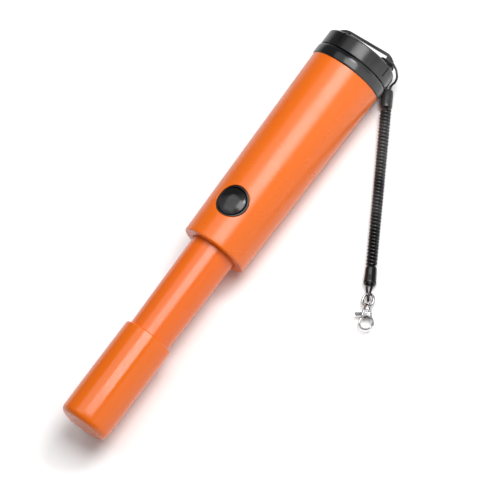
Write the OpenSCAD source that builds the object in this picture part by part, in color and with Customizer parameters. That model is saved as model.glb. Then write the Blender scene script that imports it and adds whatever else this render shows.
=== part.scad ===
// Pinpointer probe with a screw cap and a coiled lanyard, lying on its side.
// The probe's axis runs along X, tip at -X, cap at +X; the button faces +Z.
// It rests on the plane z = 0, and the origin is the middle of the probe's box on that plane.

/* [Probe] */
// Radius of the sleeve over the tip
tip_r = 13.3; // [12.9:0.1:13.5]
// Radius of the thin tube where it leaves the sleeve
tube_tip_r = 11.25; // [11.1:0.05:11.6]
// Radius of the thin tube at the shoulder
tube_root_r = 12.1; // [11.9:0.05:12.2]

/* [Handle] */
// Radius of the handle just above the shoulder
shoulder_r = 17.5; // [17.2:0.05:17.8]
// Radius of the handle at its cap end
grip_r = 19.4; // [19:0.05:19.6]
// Wall thickness of the handle
wall = 2.2; // [2:0.1:2.3]

/* [Button] */
// Radius of the push button
button_r = 7.1; // [6.5:0.1:7.2]
// Height of the button's dome above its rim
dome_h = 1.3; // [1:0.1:1.6]
// Travel of the button
button_travel = 0.5; // [0.3:0.1:0.5]

/* [Cap] */
// Radius of the black collar, which the probe rests on
collar_r = 20; // [19.8:0.1:20.4]
// Radius of the screw cap
cap_r = 19.5; // [19:0.1:19.6]
// Width of the cap's strap
strap_w = 3.2; // [2.4:0.1:5]
// Thickness of the strap over its slot
strap_t = 1.1; // [1:0.1:2]

/* [Lanyard] */
// Outer radius of the coiled cord
coil_r = 2.8; // [2.6:0.1:3]
// Length of the coiled cord
coil_len = 86; // [80:0.1:92]
// Radius of the thin cord of the two loops
loop_r = 0.6; // [0.5:0.05:0.65]

/* [Hidden] */
ax = collar_r;          // height of the probe's axis
x_tip = -120;           // end of the tip
x_slv = -65.2;          // rear edge of the tip sleeve
x_sho = -11.4;          // front face of the shoulder
x_col = 98.8;           // front of the collar
x_cap = 105.1;          // front face of the cap's flange
x_rim = 113.5;          // the cap's end face
x_top = 120;            // top of the strap
btn_x = 11.2;            // station of the button
seat_z = ax - 20;       // shift of all parts that hang on the axis
lan = [107.9, -15.6];   // start of the lanyard on the floor
lan_a = 211.8;          // direction of the lanyard
lan_z = 3.3;            // height of the lanyard's axis
s_coil = 9.4;           // stations along the lanyard
s_low = s_coil + coil_len + 0.1;
s_end = s_low + 9;
eps = 0.01;

// route of the thin cord from the upper ferrule through the strap's slot and back
up_start = [107.32, -14.67, 3.3];
up_end = [108.48, -16.53, 3.3];
up_route = [[108.8, -13.9, 3.4], [111, -14.1, 4.4], [113.3, -14.6, 5.8], [115.1, -13.9, 8.4], [115.7, -12.3, 12],
            [115.7, -11.7, 16], [115.6, -11.7, 19.5], [115.6, -11.75, 21.6], [115.6, -11.97, 23.4], [115.7, -13.4, 23.95],
            [115.7, -16, 23.95], [115.7, -17.9, 23.85], [115.7, -18.9, 23.4], [115.7, -19.2, 21.4], [115.7, -19.2, 18.5],
            [115.4, -19, 15], [114.5, -18.5, 10], [112.9, -17.4, 6.4], [111.2, -15.9, 4.2], [109.9, -15.9, 3.5]];
// route of the thin cord from the lower ferrule through the swivel's eye and back
low_route = [[0, 1.3, 3.5], [1.6, 1.4, 3.7], [3.8, 1.2, 4.6], [5.9, 0.8, 5], [7.8, 0.3, 4.7], [8.7, 0, 3.3],
             [7.8, -0.3, 1.9], [5.9, -0.8, 1.6], [3.8, -1.2, 2], [1.6, -1.4, 2.9], [0, -1.3, 3.1]];

// points of an arc round (cx, cy)
function arc(cx, cy, rx, ry, a0, a1, n) =
    [for (i = [0:n]) let (a = a0 + (a1 - a0) * i / n) [cx + rx * cos(a), cy + ry * sin(a)]];
function unit(v) = v / norm(v);
// a smooth curve through hand-set points, n steps a span
function spline(p, n) = concat([for (i = [0:len(p) - 2], k = [0:n - 1])
    let (a = p[max(i - 1, 0)], b = p[i], c = p[i + 1], d = p[min(i + 2, len(p) - 1)], t = k / n)
    0.5 * (2 * b + (c - a) * t + (2 * a - 5 * b + 4 * c - d) * t * t + (3 * b - a - 3 * c + d) * t * t * t)],
    [p[len(p) - 1]]);
function tangents(p) = [for (i = [0:len(p) - 1])
    unit(p[min(i + 1, len(p) - 1)] - p[max(i - 1, 0)])];
function normals(t, i, n) = i == len(t) ? [] :
    let (m = unit(n - (n * t[i]) * t[i])) concat([m], normals(t, i + 1, m));

// a tube of radius r swept along p
module tube_along(p, r, t0, t1, first, sides = 8) {
    tt = tangents(p);
    t = [for (i = [0:len(tt) - 1]) i == 0 ? t0 : i == len(tt) - 1 ? t1 : tt[i]];
    n = normals(t, 0, first);
    pts = [for (i = [0:len(p) - 1], k = [0:sides - 1])
        let (a = 360 * k / sides) p[i] + r * (cos(a) * n[i] + sin(a) * cross(t[i], n[i]))];
    last = (len(p) - 1) * sides;
    polyhedron(pts, concat(
        [[for (k = [sides - 1:-1:0]) k]],
        [for (i = [0:len(p) - 2], k = [0:sides - 1])
            [i * sides + k, i * sides + (k + 1) % sides, (i + 1) * sides + (k + 1) % sides, (i + 1) * sides + k]],
        [[for (k = [0:sides - 1]) last + k]]));
}
// a profile of [radius, x] points turned round the probe's axis
module turned(p) { translate([0, 0, ax]) rotate([0, 90, 0]) rotate_extrude($fn = 96) polygon(p); }
// a cylinder along X
module rod(x0, x1, r, y = 0, z = 20) {
    translate([x0, y, z + seat_z]) rotate([0, 90, 0]) cylinder(h = x1 - x0, r = r, $fn = 48);
}
// a block between two corners
module block(a, b) { translate([a[0], a[1], a[2] + seat_z]) cube(b - a); }
// an upright cylinder
module post(x, y, z0, z1, r) { translate([x, y, z0 + seat_z]) cylinder(h = z1 - z0, r = r, $fn = 64); }
// the lanyard's own frame: x along it, z up from the floor
module on_lanyard() { translate([lan[0], lan[1], 0]) rotate([0, 0, lan_a]) children(); }
// a cylinder along the lanyard
module lan_rod(s0, s1, r) { translate([s0, 0, lan_z]) rotate([0, 90, 0]) cylinder(h = s1 - s0, r = r, $fn = 48); }
module lan_turned(p) { translate([0, 0, lan_z]) rotate([0, 90, 0]) rotate_extrude($fn = 64) polygon(p); }

inner0 = shoulder_r - wall;
inner1 = grip_r - wall - 0.25;
boss = [[11.2, 27], [-11.2, 27]];

module handle_shell() color("darkorange") difference() {
    union() {
        turned(concat([[12.3, x_sho + 2.5], [12.3, x_sho + 1.3], [14.3, x_sho + 1.3], [14.9, x_sho]],
            arc(shoulder_r - 1.2, x_sho + 1.2, 1.2, 1.2, -90, 0, 5),
            [[grip_r, x_col], [17.2, x_col], [17.2, 86], [inner1, 86], [inner0, x_sho + 2.5]]));
        intersection() {
            for (b = boss) {
                rod(76, 86, 2.4, b[0], b[1]);
                translate([81, b[0], b[1] + seat_z]) rotate([atan2(b[1] - 20, b[0]), 0, 0])
                    translate([-5, 0, -1.5]) cube([10, 4.5, 3]);
            }
            rod(75, 87, 17.6);
        }
    }
    post(btn_x, 0, 25, 45, 8.45);
    for (b = boss) rod(77, 90, 1.05, b[0], b[1]);
}
module probe_tube() color("orangered")
    turned([[0, -116.8], [11.2, -116.8], [tube_tip_r, x_slv + 0.7], [tube_root_r, x_sho], [tube_root_r, x_sho + 2.6],
        [14.9, x_sho + 2.6], [14.9, x_sho + 4.6], [9.8, x_sho + 4.6], [9.8, -115], [0, -115]]);
module tip_sleeve() color("darkorange")
    turned(concat([[0, -117], [0, x_tip], [5.5, x_tip + 0.08]],
        arc(tip_r - 2.7, x_tip + 3, 2.7, 2.7, -90, 0, 6),
        arc(tip_r - 0.6, x_slv - 0.6, 0.6, 0.6, 0, 90, 3), [[11.6, x_slv], [11.6, x_slv - 0.2], [11.3, x_slv - 2.3], [11.3, -117]]));

module button_bezel() color("black") difference() {
    intersection() {
        union() {
            post(btn_x, 0, 30.6, 40, 8.4);
            post(btn_x, 0, 30.6, 32, 9.5);
        }
        rod(btn_x - 17, btn_x + 13, 17.6);
    }
    post(btn_x, 0, 31.8, 41, button_r + 0.35);
    post(btn_x, 0, 30, 32, 2);
}
module button_cap() color("black") union() {
    translate([btn_x, 0, seat_z]) rotate_extrude($fn = 96)
        polygon(concat([[0, 35], [button_r, 35], [button_r, 36.9]],
            [for (i = [1:10]) let (u = 1 - i / 10) [button_r * u, 37 + dome_h * (1 - u * u)]]));
    post(btn_x, 0, 30.45, 35 + eps, 1.9);
}
module button_spring() color("silver")
    tube_along([for (i = [0:40]) let (a = 360 * 3 * i / 40)
        [btn_x + 4.4 * cos(a), 4.4 * sin(a), 32.72 + seat_z + 1.86 * i / 40]], 0.28, [0, 1, 0], [0, 1, 0], [1, 0, 0], 6);
module button_seal() color("dimgray") difference() {
    post(btn_x, 0, 31.82, 32.3, 7.3);
    post(btn_x, 0, 31, 33, 2.05);
}
module tact_switch() color("dimgray") difference() {
    block([btn_x - 3, -3, 26.4], [btn_x + 3, 3, 29.9]);
    post(btn_x, 0, 28.4, 31, 1.8);
}
module tact_plunger() color("gold") post(btn_x, 0, 29, 30.4, 1.7);

module main_board() color("green") difference() {
    block([-6, -12.4, 24.9], [58, 12.4, 26.4]);
    for (y = [-9, 9]) post(-3, y, 24, 27, 1.2);
}
module board_chips() color("dimgray") {
    block([30, -6, 26.4], [37, 1, 27.5]);
    block([39.5, 3, 26.4], [44.5, 8, 27.3]);
    block([39.5, -7, 26.4], [43.5, -4, 27.4]);
    block([31, 4, 26.4], [34, 6, 27.2]);
}
module board_capacitors() color("silver") for (y = [-4, 4]) post(51, y, 26.4, 31.6, 2.5);
module buzzer() color("black") difference() {
    post(23.6, 0, 26.4, 30.2, 5.8);
    post(23.6, 0, 29.5, 32, 1);
}
module motor_can() color("silver") difference() {
    rod(-2, 10, 3, 0, 18);
    rod(4, 11, 0.55, 0, 18);
}
module eccentric_weight() color("gold") union() {
    rod(5, 14, 0.5, 0, 18);
    intersection() {
        rod(10.7, 14, 2.6, 0, 18);
        block([10, -3, 14], [15, 3, 18.3]);
    }
}
module motor_clip() color("dimgray") difference() {
    block([0, -4.4, 14], [8, 4.4, 24.85]);
    rod(-1, 9, 3.05, 0, 18);
}
module battery_cell() color("steelblue") rod(20, 70, 9, 0, 15.2);
module battery_cradle() color("dimgray") difference() {
    intersection() {
        rod(18, 72, 10.2, 0, 15.2);
        block([10, -11, 4], [80, 11, 15]);
    }
    rod(19.3, 70.7, 9.1, 0, 15.2);
}
module battery_tabs() color("silver") {
    block([19.4, -4, 11], [19.9, 4, 21]);
    block([70.1, -4, 11], [70.6, 4, 21]);
}
module battery_wires() color("red") {
    rod(58.6, 71.4, 0.5, 0, 25.6);
    translate([71.4, 0, 25.6 + seat_z]) sphere(r = 0.5, $fn = 24);
    post(71.4, 0, 18.2, 25.6, 0.5);
    post(18.6, 0, 18.2, 24.85, 0.5);
}
module ferrite_rod() color("dimgray") rod(-113, -73, 4);
module coil_bobbin() color("white") difference() {
    union() {
        rod(-114.6, -71.6, 5.4);
        rod(-114.6, -112.6, 9.6);
        rod(-73.6, -71.6, 9.6);
    }
    rod(-113.1, -71, 4.06);
}
module search_winding() color("orange") difference() {
    rod(-112.4, -73.8, 8.2);
    rod(-113, -73, 5.45);
}
module coil_leads() color("red") for (y = [-2.4, 2.4]) rod(-71.5, -3, 0.65, y, 27.1);

module end_collar() color("black")
    turned(concat([[15.6, 88.6], [17.15, 88.6], [17.15, x_col + 0.05], [17.6, x_col + 0.05]],
        arc(collar_r - 0.9, x_col + 0.95, 0.9, 0.9, -90, 0, 4),
        arc(collar_r - 0.9, 103.8, 0.9, 0.9, 0, 90, 4), [[15.6, 104.7]]));
module port_bulkhead() color("dimgray") difference() {
    rod(86.6, 88.5, 17.15);
    block([86, -4.6, 18.2], [89, 4.6, 21.8]);
    for (b = boss) rod(86, 89, 1.2, b[0], b[1]);
    rod(86, 89, 1.1, 7.2, 19.5);
}
module bulkhead_screws() color("silver") for (b = boss) difference() {
    union() {
        rod(79, 88.6, 1, b[0], b[1]);
        rod(88.55, 89.8, 1.9, b[0], b[1]);
    }
    translate([89.2, b[0], b[1] + seat_z]) {
        translate([0, -1.3, -0.25]) cube([1, 2.6, 0.5]);
        translate([0, -0.25, -1.3]) cube([1, 0.5, 2.6]);
    }
}
module bulkhead_gasket() color("dimgray") difference() {
    rod(86.05, 86.55, 17.1);
    rod(86, 87, 16.1);
}
module usb_port() color("silver") difference() {
    block([79, -4.45, 18.4], [88.3, 4.45, 21.6]);
    block([80.4, -4.1, 18.75], [89, 4.1, 19.7]);
    block([80.4, -4.1, 20.3], [89, 4.1, 21.25]);
    block([86.8, -4.1, 18.75], [89, 4.1, 21.25]);
}
module port_board() color("green") block([74.5, -9, 17], [85.9, 9, 18.35]);
module port_wires() color("red") for (y = [-5, 5]) {
    rod(58.1, 75.5, 0.5, y, 25.6);
    translate([75.5, y, 25.6 + seat_z]) sphere(r = 0.5, $fn = 24);
    post(75.5, y, 18.4, 25.6, 0.5);
}
module charge_led() color("lightgreen") rod(83, 88.5, 1.05, 7.2, 19.5);

module cap_o_ring() color("dimgray") translate([103, 0, ax]) rotate([0, 90, 0])
    rotate_extrude($fn = 96) translate([14.92, 0]) circle(r = 0.6, $fn = 24);
module screw_cap() color("black") difference() {
    union() {
        turned(concat([[0, 105.6], [13, 105.6], [13, 96.5], [15.1, 96.5], [15.5, 96.9], [15.5, 102.2], [14.3, 102.2],
            [14.3, 103.8], [15.5, 103.8], [15.5, x_cap]], arc(cap_r - 0.5, x_cap + 0.5, 0.5, 0.5, -90, 0, 3),
            [[cap_r, x_rim - 0.9], [cap_r - 0.9, x_rim], [0, x_rim]]));
        translate([0, 0, ax - strap_w / 2]) linear_extrude(strap_w) difference() {
            polygon(concat([[x_rim - 0.5, -18.5]], arc(x_rim, -11, x_top - x_rim, 7.5, -90, 0, 10),
                arc(x_rim, 11, x_top - x_rim, 7.5, 0, 90, 10), [[x_rim - 0.5, 18.5]]));
            polygon(concat([[x_rim, -12.6]], arc(x_top - strap_t - 1.4, -11.2, 1.4, 1.4, -90, 0, 4),
                arc(x_top - strap_t - 1.4, 11.2, 1.4, 1.4, 0, 90, 4), [[x_rim, 12.6]]));
        }
    }
    // narrow grooves between the four grip panels
    for (a = [0:90:270]) translate([107.2, 0, ax]) rotate([a - 15, 0, 0]) translate([0, -0.65, cap_r - 0.6]) cube([7, 1.3, 3]);
}

up0 = [1, 0, 0];
module upper_loop() color("black")
    tube_along(spline(concat([up_start], up_route, [up_end]), 2), loop_r,
        -[cos(lan_a), sin(lan_a), 0], [cos(lan_a), sin(lan_a), 0], [0, 0, 1]);
module upper_ferrule() color("black") on_lanyard()
    lan_turned([[0, 0], [2.5, 0], [3, 0.5], [3, 8.9], [2.6, 9.35], [0, 9.35]]);
module coil_tether() color("black") on_lanyard() lan_rod(s_coil, s_coil + coil_len, coil_r);
module lower_ferrule() color("black") on_lanyard()
    lan_turned([[0, s_low], [2.6, s_low], [3, s_low + 0.5], [3.25, s_end - 0.6], [2.8, s_end], [0, s_end]]);
module lower_loop() color("black") on_lanyard()
    tube_along(spline([for (p = low_route) p + [s_end, 0, 0]], 2), loop_r, [1, 0, 0], [-1, 0, 0], [0, 1, 0]);
module swivel_eye() color("silver") on_lanyard() union() {
    translate([s_end + 8, 0, lan_z]) rotate_extrude($fn = 64) translate([2.75, 0]) circle(r = 0.7, $fn = 24);
    lan_rod(s_end + 11, s_end + 13.1, 1.1);
    lan_rod(s_end + 12.95, s_end + 13.6, 1.5);
}
pin_s = 15.7;            // the rivet, past the lower ferrule
ring_s = 20.4;           // middle of the clasp's ring
ring_r = 3.45;           // radius of the ring's wire line
module clasp_body() color("silver") on_lanyard() translate([s_end, 0, 0]) difference() {
    union() {
        lan_rod(11.9, 14.3, 2.2);
        translate([0, 0, lan_z]) intersection() {
            translate([14.2, -2.4, -2]) cube([4.4, 4.6, 4]);
            translate([pin_s, 0, -3]) cylinder(h = 6, r = 3, $fn = 48);
        }
        // fixed claw: from the body round the far end to the gate
        translate([ring_s, 0, lan_z]) {
            rotate_extrude(angle = 198, start = 212, $fn = 64) translate([ring_r, 0]) circle(r = 0.5, $fn = 24);
            translate([ring_r * cos(50), ring_r * sin(50), 0]) sphere(r = 0.5, $fn = 24);
        }
    }
    translate([ring_s, 0, lan_z - 3]) cylinder(h = 6, r = ring_r - 0.5, $fn = 64);
    lan_rod(11, 12.9, 1.15);
    lan_rod(12.8, 13.75, 1.6);
    // slot for the trigger, and the rivet's bore
    translate([14.05, -4, lan_z - 0.8]) cube([3.2, 8, 2]);
    translate([14.05, -0.2, lan_z - 0.8]) cube([6, 4, 2]);
    translate([pin_s, 0, lan_z - 4]) cylinder(h = 8, r = 0.6, $fn = 32);
}
module trigger_lever() color("silver") on_lanyard() translate([s_end + pin_s, 0, lan_z - 0.7]) difference() {
    union() {
        cylinder(h = 1.4, r = 1.35, $fn = 40);
        translate([-0.6, -5.2, 0]) cube([1.2, 4.8, 1.4]);
        translate([0, -5.2, 0]) cylinder(h = 1.4, r = 0.8, $fn = 32);
        // gate, from the rivet to the claw's end
        linear_extrude(1.4) polygon(concat([[1.2, -0.4], [-0.9, 0.9]],
            arc(ring_s - pin_s, 0, 3.9, 3.9, 150, 78, 8), arc(ring_s - pin_s, 0, 3.05, 3.05, 61, 150, 8)));
    }
    translate([0, 0, -1]) cylinder(h = 4, r = 0.62, $fn = 32);
}
module trigger_pin() color("silver") on_lanyard() translate([s_end + pin_s, 0, lan_z - 2.15])
    cylinder(h = 4.3, r = 0.57, $fn = 32);
module trigger_spring() color("silver") on_lanyard() translate([s_end + pin_s, 0, lan_z + 0.94])
    rotate_extrude($fn = 48) translate([0.9, 0]) circle(r = 0.2, $fn = 32);

handle_shell();
probe_tube();
tip_sleeve();
button_bezel();
button_cap();
button_spring();
button_seal();
tact_switch();
tact_plunger();
main_board();
board_chips();
board_capacitors();
buzzer();
motor_can();
eccentric_weight();
motor_clip();
battery_cell();
battery_cradle();
battery_tabs();
battery_wires();
ferrite_rod();
coil_bobbin();
search_winding();
coil_leads();
end_collar();
port_bulkhead();
bulkhead_screws();
bulkhead_gasket();
usb_port();
port_board();
port_wires();
charge_led();
cap_o_ring();
screw_cap();
upper_loop();
upper_ferrule();
coil_tether();
lower_ferrule();
lower_loop();
swivel_eye();
clasp_body();
trigger_lever();
trigger_pin();
trigger_spring();
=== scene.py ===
import bpy, bmesh, math
from math import sin, cos, pi, sqrt, atan2, radians
from mathutils import Vector, Matrix, noise


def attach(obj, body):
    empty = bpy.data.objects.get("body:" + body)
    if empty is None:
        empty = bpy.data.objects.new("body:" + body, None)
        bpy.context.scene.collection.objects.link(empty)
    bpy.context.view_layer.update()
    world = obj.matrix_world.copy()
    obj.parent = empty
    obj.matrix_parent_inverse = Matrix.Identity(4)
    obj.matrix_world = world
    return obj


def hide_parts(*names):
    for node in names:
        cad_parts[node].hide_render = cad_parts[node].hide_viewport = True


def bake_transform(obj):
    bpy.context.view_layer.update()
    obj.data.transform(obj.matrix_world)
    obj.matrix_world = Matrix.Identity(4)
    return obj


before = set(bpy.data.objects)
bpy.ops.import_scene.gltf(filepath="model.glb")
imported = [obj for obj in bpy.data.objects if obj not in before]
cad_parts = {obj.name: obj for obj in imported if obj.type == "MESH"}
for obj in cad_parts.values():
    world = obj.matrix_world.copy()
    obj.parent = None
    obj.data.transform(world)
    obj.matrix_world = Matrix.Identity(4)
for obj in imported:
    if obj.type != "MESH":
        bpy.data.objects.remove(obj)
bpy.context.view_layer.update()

SC = bpy.context.scene
MM = 0.001
AX = 20.0                       # height of the probe's axis, mm


# ---------------------------------------------------------------- helpers
def mesh_obj(name, verts, faces, mats=None, idx=None, sharp=35.0, merge=True):
    """verts in mm in the row frame; returns the object with smooth shading and edges sharp by angle."""
    me = bpy.data.meshes.new(name)
    me.from_pydata([(v[0] * MM, v[1] * MM, v[2] * MM) for v in verts], [], faces)
    me.update()
    bm = bmesh.new()
    bm.from_mesh(me)
    if idx:
        for f, i in zip(bm.faces, idx):
            f.material_index = i
    if merge:
        bmesh.ops.remove_doubles(bm, verts=bm.verts, dist=1e-7)
    bmesh.ops.recalc_face_normals(bm, faces=bm.faces)
    bm.to_mesh(me)
    bm.free()
    for p in me.polygons:
        p.use_smooth = True
    me.set_sharp_from_angle(angle=radians(sharp))
    ob = bpy.data.objects.new(name, me)
    SC.collection.objects.link(ob)
    for m in (mats if isinstance(mats, (list, tuple)) else [mats]):
        if m:
            me.materials.append(m)
    return ob


def fillet(pts, closed=True):
    """pts is [(a, b, radius)]; corners are rounded with arcs."""
    out, n = [], len(pts)
    for i in range(n):
        a, b, r = pts[i]
        if r <= 0 or (not closed and i in (0, n - 1)):
            out.append((a, b))
            continue
        p = Vector((a, b))
        u = (Vector(pts[i - 1][:2]) - p).normalized()
        w = (Vector(pts[(i + 1) % n][:2]) - p).normalized()
        ang = u.angle(w)
        if ang > pi - 0.02:
            out.append((a, b))
            continue
        d = r / math.tan(ang / 2)
        c = p + (u + w).normalized() * (r / sin(ang / 2))
        s, e = p + u * d - c, p + w * d - c
        tot = s.angle(e)
        k = max(3, int(math.ceil(tot / radians(15))))
        for j in range(k + 1):
            t = j / k
            v = (s * sin((1 - t) * tot) + e * sin(t * tot)) / sin(tot)
            out.append((c.x + v.x, c.y + v.y))
    return out


def dense(pts, step):
    """adds points along long straight runs of a closed outline."""
    out = []
    for i, p in enumerate(pts):
        q = pts[(i + 1) % len(pts)]
        k = max(1, int(math.hypot(q[0] - p[0], q[1] - p[1]) / step))
        out += [(p[0] + (q[0] - p[0]) * j / k, p[1] + (q[1] - p[1]) * j / k) for j in range(k)]
    return out


def lathe_data(profile, n=160, a0=0.0):
    """closed profile of (radius, x) turned round the probe's axis."""
    verts, rows = [], []
    for r, x in profile:
        if r < 1e-6:
            rows.append([len(verts)] * n)
            verts.append((x, 0.0, AX))
        else:
            rows.append([len(verts) + k for k in range(n)])
            for k in range(n):
                a = a0 + 2 * pi * k / n
                verts.append((x, r * sin(a), AX + r * cos(a)))
    faces = []
    for i in range(len(rows)):
        A, B = rows[i], rows[(i + 1) % len(rows)]
        for k in range(n):
            f = [A[k], A[(k + 1) % n], B[(k + 1) % n], B[k]]
            g = []
            for v in f:
                if v not in g:
                    g.append(v)
            if len(g) > 2:
                faces.append(g)
    return verts, faces


def lathe(name, profile, mats, n=160, sharp=35.0):
    v, f = lathe_data(profile, n)
    return mesh_obj(name, v, f, mats, sharp=sharp)


def frames_along(path, first=None, closed=False):
    n = len(path)
    P = [Vector(p) for p in path]
    T = []
    for i in range(n):
        a = P[(i - 1) % n] if closed else P[max(i - 1, 0)]
        b = P[(i + 1) % n] if closed else P[min(i + 1, n - 1)]
        T.append((b - a).normalized())
    N = Vector(first) if first else (Vector((0, 0, 1)) if abs(T[0].z) < 0.8 else Vector((0, 1, 0)))
    out = []
    for t in T:
        N = (N - t * N.dot(t)).normalized()
        out.append((t, N.copy(), t.cross(N)))
    return P, out


def tube_data(path, radius, sides=10, first=None, closed=False, flat=1.0, caps=True):
    """radius is a number or a function of the place 0..1 along the path."""
    P, F = frames_along(path, first, closed)
    verts, faces = [], []
    for i, (p, (t, n, b)) in enumerate(zip(P, F)):
        r = radius(i / max(1, len(P) - 1)) if callable(radius) else radius
        for k in range(sides):
            a = 2 * pi * k / sides
            verts.append(tuple(p + n * (r * cos(a) * flat) + b * (r * sin(a))))
    m = len(P)
    for i in range(m if closed else m - 1):
        j = (i + 1) % m
        for k in range(sides):
            l = (k + 1) % sides
            faces.append([i * sides + k, i * sides + l, j * sides + l, j * sides + k])
    if not closed and caps:
        faces.append(list(range(sides))[::-1])
        faces.append([(m - 1) * sides + k for k in range(sides)])
    return verts, faces


def join(parts):
    V, F = [], []
    for v, f in parts:
        o = len(V)
        V += list(v)
        F += [[i + o for i in g] for g in f]
    return V, F


def catmull(p, n):
    out = []
    for i in range(len(p) - 1):
        a, b, c, d = (Vector(p[max(i - 1, 0)]), Vector(p[i]), Vector(p[i + 1]), Vector(p[min(i + 2, len(p) - 1)]))
        for k in range(n):
            t = k / n
            out.append(tuple(0.5 * (2 * b + (c - a) * t + (2 * a - 5 * b + 4 * c - d) * t * t
                                    + (3 * b - a - 3 * c + d) * t ** 3)))
    out.append(tuple(p[-1]))
    return out


def path_len(p):
    return sum((Vector(p[i + 1]) - Vector(p[i])).length for i in range(len(p) - 1))


def smooth(a, b, x):
    t = min(1.0, max(0.0, (x - a) / (b - a)))
    return t * t * (3 - 2 * t)


# the lanyard's own frame, x along it
LAN = Vector((107.9, -15.6, 0.0))
LA = radians(211.8)
LZ = 3.3
U = Vector((cos(LA), sin(LA), 0))
Vn = Vector((-sin(LA), cos(LA), 0))


def L(s, y, z):
    return tuple(LAN + U * s + Vn * y + Vector((0, 0, z)))


S_COIL, COIL_LEN = 9.4, 86.0
S_LOW = S_COIL + COIL_LEN + 0.1
S_END = S_LOW + 9.0

# ---------------------------------------------------------------- camera
PHI, EPS, DIST, K = radians(26), radians(11.2), 2500.0, 0.4915
vv = Vector((-sin(EPS), -sin(PHI) * cos(EPS), cos(PHI) * cos(EPS)))
es = Vector((cos(EPS), -sin(PHI) * sin(EPS), cos(PHI) * sin(EPS)))
et = Vector((0, -cos(PHI), -sin(PHI)))
right = 0.6017 * es + 0.7987 * et
up = 0.7987 * es - 0.6017 * et
T0 = Vector((0, 0, AX))
O = T0 + vv * DIST
aim = T0 + right * ((242.5 - 227.14) * K) - up * ((250.0 - 232.8) * K)
fwd = (aim - O).normalized()
rt = (right - fwd * right.dot(fwd)).normalized()
upv = rt.cross(fwd)
cam_data = bpy.data.cameras.new("camera")
cam = bpy.data.objects.new("camera", cam_data)
SC.collection.objects.link(cam)
m = Matrix((rt, upv, -fwd)).transposed().to_4x4()
m.translation = O * MM
cam.matrix_world = m
cam_data.sensor_width = 36.0
cam_data.sensor_fit = 'AUTO'
cam_data.lens = (DIST / K) / 500.0 * 36.0
cam_data.clip_start = 0.01
cam_data.clip_end = 20.0
SC.camera = cam


# ---------------------------------------------------------------- materials
def new_mat(name):
    mt = bpy.data.materials.new(name)
    mt.use_nodes = True
    nt = mt.node_tree
    nt.nodes.clear()
    out = nt.nodes.new("ShaderNodeOutputMaterial")
    bs = nt.nodes.new("ShaderNodeBsdfPrincipled")
    nt.links.new(bs.outputs[0], out.inputs[0])
    tc = nt.nodes.new("ShaderNodeTexCoord")
    return mt, nt, bs, tc


def noise_node(nt, tc, scale, detail=3.0, rough=0.5, stretch=None, dist=0.0):
    src = tc.outputs["Object"]
    if stretch:
        mp = nt.nodes.new("ShaderNodeMapping")
        mp.inputs["Scale"].default_value = stretch
        nt.links.new(src, mp.inputs["Vector"])
        src = mp.outputs["Vector"]
    nz = nt.nodes.new("ShaderNodeTexNoise")
    nz.inputs["Scale"].default_value = scale
    nz.inputs["Detail"].default_value = detail
    nz.inputs["Roughness"].default_value = rough
    nz.inputs["Distortion"].default_value = dist
    nt.links.new(src, nz.inputs["Vector"])
    return nz.outputs["Fac"]


def ramp(nt, fac, stops):
    r = nt.nodes.new("ShaderNodeValToRGB")
    e = r.color_ramp.elements
    while len(e) < len(stops):
        e.new(0.5)
    for k, (p, c) in zip(e, stops):
        k.position = p
        k.color = (*c, 1.0) if len(c) == 3 else c
    nt.links.new(fac, r.inputs["Fac"])
    return r.outputs["Color"]


def to_range(nt, fac, lo, hi, a=0.3, b=0.7):
    r = nt.nodes.new("ShaderNodeMapRange")
    r.inputs["From Min"].default_value = a
    r.inputs["From Max"].default_value = b
    r.inputs["To Min"].default_value = lo
    r.inputs["To Max"].default_value = hi
    nt.links.new(fac, r.inputs["Value"])
    return r.outputs["Result"]


def bump(nt, bs, height, strength, dist, prev=None):
    b = nt.nodes.new("ShaderNodeBump")
    b.inputs["Strength"].default_value = strength
    b.inputs["Distance"].default_value = dist
    nt.links.new(height, b.inputs["Height"])
    if prev:
        nt.links.new(prev, b.inputs["Normal"])
    nt.links.new(b.outputs["Normal"], bs.inputs["Normal"])
    return b.outputs["Normal"]


def lerp_c(c, d, t):
    return tuple(a + (b - a) * t for a, b in zip(c, d))


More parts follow.
